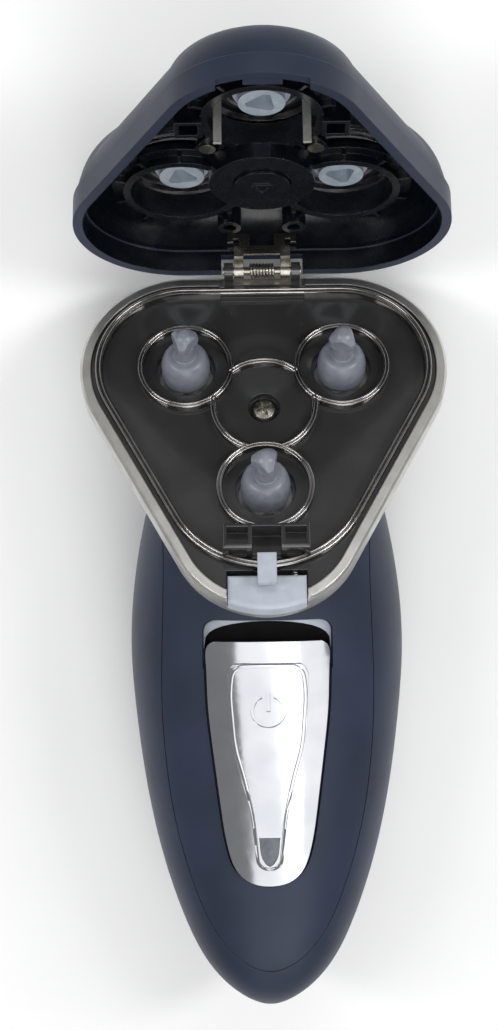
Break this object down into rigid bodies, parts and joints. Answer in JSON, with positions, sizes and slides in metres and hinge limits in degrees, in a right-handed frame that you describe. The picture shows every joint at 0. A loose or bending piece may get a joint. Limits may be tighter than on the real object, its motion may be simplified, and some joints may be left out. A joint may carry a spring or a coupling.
{
  "type": "electric shaver",
  "caption": "Rotary electric shaver with a navy soft-touch handle, chrome slide switch, driven spindles and a hinged cutting-head cover standing open.",
  "frame": {"origin": "centre of the flat on the handle's back, where the shaver rests", "axes": "+X across, +Y along the handle towards the heads, +Z out of the front of the handle"},
  "size_m": [0.0684, 0.1849, 0.0728],
  "materials": {
    "soft_touch_navy": "soft-touch lacquer, fine orange peel",
    "chrome_plate": "bright chrome on plastic",
    "smoked_window": "smoked, polished",
    "black_plastic": "moulded",
    "zinc_steel": "bright zinc",
    "cell_sleeve": "shrink sleeve",
    "nickel": "nickel plated",
    "board_laminate": "solder mask",
    "led_lens": "clear-tinted epoxy",
    "lead_insulation": "extruded insulation",
    "brass_pins": "turned",
    "satin_silver": "satin, vacuum-metallised",
    "seal_rubber": "matte",
    "black_chrome": "dark chrome plating, mirror bright",
    "stainless": "stamped, satin",
    "button_grey": "semi-gloss",
    "spring_steel": "drawn wire",
    "rotor_iron": "laminated, wound",
    "ferrite": "sintered",
    "frame_black": "moulded, fine texture",
    "spindle_grey": "acetal, satin",
    "gear_acetal": "natural acetal",
    "cutter_steel": "ground stainless",
    "hub_grey": "acetal, satin"
  },
  "bodies": {
    "handle": {"rear_housing": "soft_touch_navy", "front_panel": "soft_touch_navy", "chassis": "black_plastic", "chassis_screws": "zinc_steel", "battery_cells": "cell_sleeve", "cell_tabs": "nickel", "circuit_board": "board_laminate", "switch_case": "black_plastic", "charge_led": "led_lens", "charge_controller": "black_plastic", "motor_leads": "lead_insulation", "inlet_socket": "black_plastic", "inlet_pins": "brass_pins", "head_rim": "satin_silver", "chamber_gasket": "seal_rubber", "chamber_plate": "black_chrome", "plate_screw": "stainless", "latch_guide": "black_chrome", "button_spring": "spring_steel", "hinge_pin": "stainless", "hinge_leaf": "stainless", "hinge_spring": "spring_steel", "motor_can": "nickel", "motor_magnets": "ferrite", "motor_cap": "black_plastic", "drive_bracket": "zinc_steel", "gear_studs": "stainless", "bracket_screws": "zinc_steel", "gear_cover": "black_plastic"},
    "slide_switch": {"slide_switch": "chrome_plate", "charge_window": "smoked_window", "switch_lever": "black_plastic"},
    "release_button": {"release_button": "button_grey"},
    "rotor": {"motor_rotor": "rotor_iron", "motor_shaft": "spring_steel", "drive_pinion": "brass_pins"},
    "cover": {"cover_shell": "soft_touch_navy", "hinge_bracket": "stainless", "retaining_frame": "frame_black", "frame_screws": "zinc_steel", "clip_springs": "spring_steel"},
    "lock_knob": {"lock_knob": "frame_black"},
    "gear_right": {"drive_gear_right": "gear_acetal", "spindle_spring_right": "spring_steel"},
    "spindle_right": {"spindle_right": "spindle_grey"},
    "outer_cutter_right": {"outer_cutter_right": "cutter_steel"},
    "inner_cutter_right": {"inner_cutter_right": "cutter_steel", "cutter_hub_right": "hub_grey"},
    "gear_left": {"drive_gear_left": "gear_acetal", "spindle_spring_left": "spring_steel"},
    "spindle_left": {"spindle_left": "spindle_grey"},
    "outer_cutter_left": {"outer_cutter_left": "cutter_steel"},
    "inner_cutter_left": {"inner_cutter_left": "cutter_steel", "cutter_hub_left": "hub_grey"},
    "gear_front": {"drive_gear_front": "gear_acetal", "spindle_spring_front": "spring_steel"},
    "spindle_front": {"spindle_front": "spindle_grey"},
    "outer_cutter_front": {"outer_cutter_front": "cutter_steel"},
    "inner_cutter_front": {"inner_cutter_front": "cutter_steel", "cutter_hub_front": "hub_grey"}
  },
  "joints": [
    {"name": "cover_hinge", "type": "hinge", "parent": "handle", "child": "cover", "pos_m": [0, 0.07856, 0.01275], "axis": [1, 0, 0], "range_deg": [0, 83.5], "stiffness_Nm_per_rad": 0.012, "springref_deg": -34.38, "deforming": ["hinge_spring"]},
    {"name": "release_press", "type": "slide", "parent": "handle", "child": "release_button", "axis": [0, 0.7986, -0.6018], "range_m": [0, 0.001], "stiffness_N_per_m": 900, "springref_m": -0.0008, "deforming": ["button_spring"]},
    {"name": "switch_slide", "type": "slide", "parent": "handle", "child": "slide_switch", "axis": [0, 0.9978, 0.0659], "range_m": [0, 0.0034]},
    {"name": "rotor_spin", "type": "hinge", "parent": "handle", "child": "rotor", "pos_m": [0, 0.05019, 0.02261], "axis": [0, 0.6018, 0.7986], "continuous": true},
    {"name": "gear_spin_right", "type": "hinge", "parent": "handle", "child": "gear_right", "pos_m": [0.01451, 0.05808, 0.01917], "axis": [0, 0.6018, 0.7986], "continuous": true},
    {"name": "spindle_press_right", "type": "slide", "parent": "gear_right", "child": "spindle_right", "axis": [0, -0.6018, -0.7986], "range_m": [0, 0.002], "stiffness_N_per_m": 400, "springref_m": -0.001, "deforming": ["spindle_spring_right"]},
    {"name": "cutter_float_right", "type": "slide", "parent": "cover", "child": "outer_cutter_right", "axis": [0, -0.8616, 0.5075], "range_m": [0, 0.001]},
    {"name": "cutter_spin_right", "type": "hinge", "parent": "outer_cutter_right", "child": "inner_cutter_right", "pos_m": [0.01451, 0.09986, 0.02368], "axis": [0, 0.8616, -0.5075], "continuous": true},
    {"name": "gear_spin_left", "type": "hinge", "parent": "handle", "child": "gear_left", "pos_m": [-0.01451, 0.05808, 0.01917], "axis": [0, 0.6018, 0.7986], "continuous": true},
    {"name": "spindle_press_left", "type": "slide", "parent": "gear_left", "child": "spindle_left", "axis": [0, -0.6018, -0.7986], "range_m": [0, 0.002], "stiffness_N_per_m": 400, "springref_m": -0.001, "deforming": ["spindle_spring_left"]},
    {"name": "cutter_float_left", "type": "slide", "parent": "cover", "child": "outer_cutter_left", "axis": [0, -0.8616, 0.5075], "range_m": [0, 0.001]},
    {"name": "cutter_spin_left", "type": "hinge", "parent": "outer_cutter_left", "child": "inner_cutter_left", "pos_m": [-0.01451, 0.09986, 0.02368], "axis": [0, 0.8616, -0.5075], "continuous": true},
    {"name": "gear_spin_front", "type": "hinge", "parent": "handle", "child": "gear_front", "pos_m": [0, 0.03801, 0.03429], "axis": [0, 0.6018, 0.7986], "continuous": true},
    {"name": "spindle_press_front", "type": "slide", "parent": "gear_front", "child": "spindle_front", "axis": [0, -0.6018, -0.7986], "range_m": [0, 0.002], "stiffness_N_per_m": 400, "springref_m": -0.001, "deforming": ["spindle_spring_front"]},
    {"name": "cutter_float_front", "type": "slide", "parent": "cover", "child": "outer_cutter_front", "axis": [0, -0.8616, 0.5075], "range_m": [0, 0.001]},
    {"name": "cutter_spin_front", "type": "hinge", "parent": "outer_cutter_front", "child": "inner_cutter_front", "pos_m": [0, 0.11261, 0.04532], "axis": [0, 0.8616, -0.5075], "continuous": true},
    {"name": "knob_turn", "type": "hinge", "parent": "cover", "child": "lock_knob", "pos_m": [0, 0.09635, 0.03546], "axis": [0, -0.8616, 0.5075], "range_deg": [0, 60]}
  ],
  "couplings": [
    {"joint": "gear_spin_left", "follows": "gear_spin_right", "ratio": 1},
    {"joint": "gear_spin_front", "follows": "gear_spin_right", "ratio": 1},
    {"joint": "rotor_spin", "follows": "gear_spin_right", "ratio": -3.4667}
  ]
}
